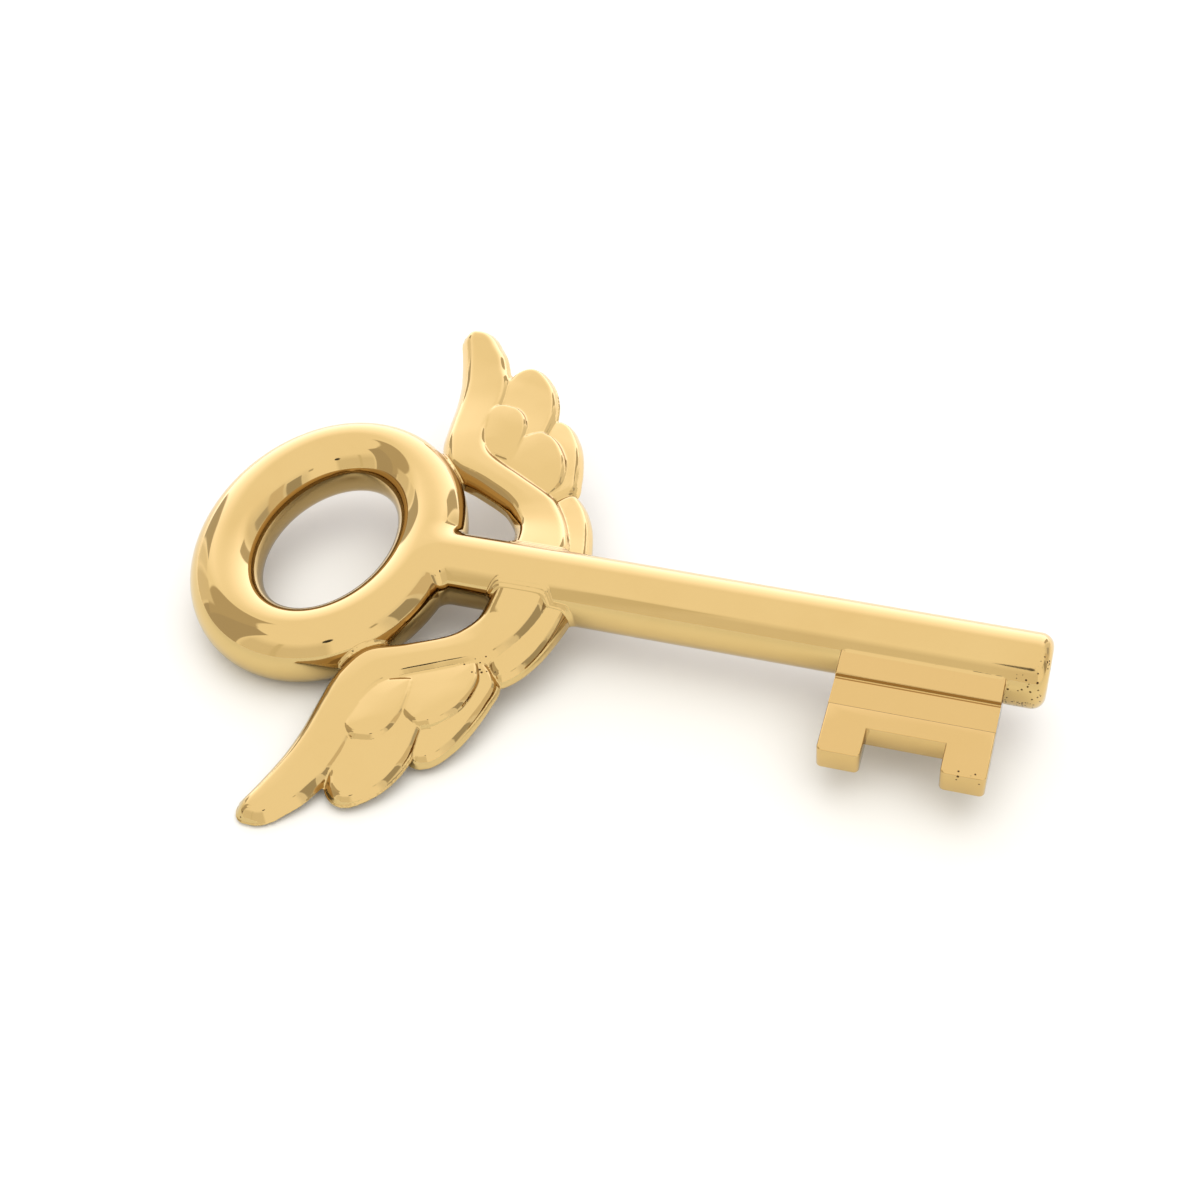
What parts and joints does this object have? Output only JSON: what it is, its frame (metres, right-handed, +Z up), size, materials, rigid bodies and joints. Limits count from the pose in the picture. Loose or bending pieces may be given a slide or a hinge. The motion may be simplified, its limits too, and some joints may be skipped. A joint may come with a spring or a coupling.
{
  "type": "decorative key",
  "caption": "Mirror-polished gilt brass ornamental key with a hollow oval bow, round shank, slotted bit and feathered wings beside the bow; it lies flat or hangs by the bow.",
  "frame": {"origin": "On the rest plane, below the middle of the key's length and midway between the wing tips.", "axes": "+X along the shank from the bow to the plain end, +Y towards the left wing and away from the bit, +Z up from the rest plane to the relief side of the wings."},
  "size_m": [0.357, 0.2818, 0.03],
  "materials": {
    "gilt_brass": "mirror-polished gilt",
    "braze": "polished braze filler, gilt over",
    "steel": "plain, hidden inside the joints"
  },
  "bodies": {
    "root": {"bow_front_half": "gilt_brass", "bow_back_half": "gilt_brass", "neck_stud": "steel", "neck_fillet": "braze", "shank_tube": "gilt_brass", "shank_end_plug": "gilt_brass", "bit_root_block": "gilt_brass", "bit_tooth_plate": "gilt_brass", "bit_pins": "steel", "bit_braze": "braze", "wing_left": "gilt_brass", "wing_right": "gilt_brass", "wing_shank_dowels": "steel", "wing_bow_dowels": "steel", "wing_left_shank_braze": "braze", "wing_right_shank_braze": "braze", "wing_left_bow_braze": "braze", "wing_right_bow_braze": "braze"}
  },
  "joints": []
}
